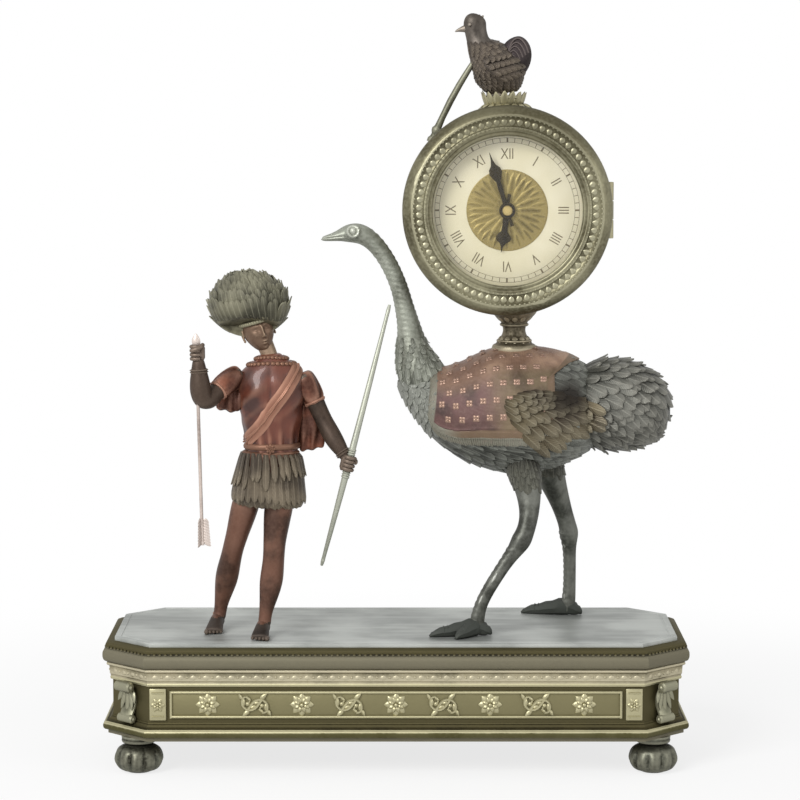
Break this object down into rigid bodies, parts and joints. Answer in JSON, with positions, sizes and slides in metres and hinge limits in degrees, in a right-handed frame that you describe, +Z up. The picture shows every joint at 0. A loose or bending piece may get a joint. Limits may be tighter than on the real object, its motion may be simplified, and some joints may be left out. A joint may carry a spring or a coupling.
{
  "type": "figural table clock",
  "caption": "Figural table clock: an ostrich carries a drum clock on its back beside an attendant with a bow, on a canted moulded plinth.",
  "frame": {"origin": "centre of the plinth's footprint, on the surface that the feet stand on", "axes": "+X along the plinth, to the right as seen from the dial side; +Y away from the dial side; +Z up"},
  "size_m": [0.29, 0.11, 0.3725],
  "materials": {
    "gilt": "aged gilding over cast brass, satin with worn lights",
    "dark_gilt": "toned gilding, darker in the hollows",
    "silvered": "silvered and lacquered sheet, satin",
    "grey_bronze": "grey-green patinated bronze, satin",
    "dark_bronze": "dark brown patinated bronze",
    "skin_bronze": "dark brown patinated bronze, rubbed on the heights",
    "red_lacquer": "cold-painted copper red with rubbed lights",
    "saddle_enamel": "cold-painted rose over bronze with gold lights",
    "plumage": "cold-painted olive grey feathers",
    "enamel": "cream enamel dial",
    "clear_glass": "clear flat glass",
    "steel": "bright steel",
    "brass": "lacquered brass",
    "blued": "dark bronzed steel hands"
  },
  "bodies": {
    "clock": {"base_lower_moulding": "gilt", "base_frieze_wall": "gilt", "frieze_panel_front": "gilt", "frieze_panel_rear": "gilt", "dial_centre": "gilt", "foot_front_left": "dark_gilt", "foot_front_right": "dark_gilt", "foot_rear_left": "dark_gilt", "foot_rear_right": "dark_gilt", "base_floor_plate": "dark_gilt", "base_cornice": "dark_gilt", "drum_case": "dark_gilt", "finial_plinth": "dark_gilt", "finial_stay_rod": "dark_gilt", "deck_plate": "silvered", "ostrich_body": "grey_bronze", "ostrich_neck": "grey_bronze", "ostrich_tail": "grey_bronze", "ostrich_leg_near": "grey_bronze", "ostrich_leg_far": "grey_bronze", "clock_pedestal": "dark_bronze", "finial_bird": "dark_bronze", "finial_tail": "dark_bronze", "bow": "dark_bronze", "arrow": "dark_bronze", "attendant_right_leg": "skin_bronze", "attendant_left_leg": "skin_bronze", "attendant_head": "skin_bronze", "attendant_right_arm": "skin_bronze", "attendant_left_arm": "skin_bronze", "attendant_torso": "red_lacquer", "saddle_cloth": "saddle_enamel", "ostrich_wing_near": "plumage", "ostrich_wing_far": "plumage", "attendant_headdress": "plumage", "attendant_kilt": "plumage", "dial_plate": "enamel", "drum_fixing_screw": "steel", "bezel_hinge_pin": "steel", "rear_hinge_pin": "steel", "bow_string": "steel", "movement_front_plate": "brass", "movement_rear_plate": "brass"},
    "front_bezel": {"front_bezel": "gilt", "bezel_glass": "clear_glass"},
    "rear_cover": {"rear_cover": "dark_gilt"},
    "minute_arbor": {"minute_hand": "blued", "hand_nut": "brass", "cannon_pinion": "steel", "centre_wheel": "brass"},
    "hour_pipe": {"hour_wheel": "brass", "hour_hand": "blued"},
    "motion_wheel": {"minute_wheel": "brass"},
    "barrel": {"mainspring_barrel": "brass"},
    "third_arbor": {"third_wheel": "brass"},
    "escape_arbor": {"escape_wheel": "brass"},
    "pendulum": {"pallet_anchor": "steel", "pendulum": "brass"},
    "winding_arbor": {"winding_arbor": "steel"}
  },
  "joints": [
    {"name": "bezel_hinge", "type": "hinge", "parent": "clock", "child": "front_bezel", "pos_m": [0.1048, -0.0188, 0.276], "axis": [0, 0, 1], "range_deg": [0, 110]},
    {"name": "rear_cover_hinge", "type": "hinge", "parent": "clock", "child": "rear_cover", "pos_m": [0.1048, 0.0188, 0.276], "axis": [0, 0, -1], "range_deg": [0, 110]},
    {"name": "minute_turn", "type": "hinge", "parent": "clock", "child": "minute_arbor", "pos_m": [0.0545, 0, 0.276], "axis": [0, 1, 0], "continuous": true},
    {"name": "hour_turn", "type": "hinge", "parent": "clock", "child": "hour_pipe", "pos_m": [0.0545, 0, 0.276], "axis": [0, 1, 0], "continuous": true},
    {"name": "motion_wheel_turn", "type": "hinge", "parent": "clock", "child": "motion_wheel", "pos_m": [0.0545, 0, 0.26388], "axis": [0, 1, 0], "continuous": true},
    {"name": "barrel_turn", "type": "hinge", "parent": "clock", "child": "barrel", "pos_m": [0.0417, 0, 0.26704], "axis": [0, 1, 0], "continuous": true},
    {"name": "third_turn", "type": "hinge", "parent": "clock", "child": "third_arbor", "pos_m": [0.06156, 0, 0.28823], "axis": [0, 1, 0], "continuous": true},
    {"name": "escape_turn", "type": "hinge", "parent": "clock", "child": "escape_arbor", "pos_m": [0.05606, 0, 0.29903], "axis": [0, 1, 0], "continuous": true},
    {"name": "pendulum_swing", "type": "hinge", "parent": "clock", "child": "pendulum", "pos_m": [0.05606, 0, 0.30923], "axis": [0, 1, 0], "range_deg": [-6, 6]},
    {"name": "winding_turn", "type": "hinge", "parent": "clock", "child": "winding_arbor", "pos_m": [0.0417, 0, 0.26704], "axis": [0, 1, 0], "continuous": true}
  ],
  "couplings": [
    {"joint": "hour_turn", "follows": "minute_turn", "ratio": 0.083333},
    {"joint": "motion_wheel_turn", "follows": "minute_turn", "ratio": -0.33333},
    {"joint": "barrel_turn", "follows": "minute_turn", "ratio": -0.19231},
    {"joint": "third_turn", "follows": "minute_turn", "ratio": -6},
    {"joint": "escape_turn", "follows": "minute_turn", "ratio": 30}
  ]
}
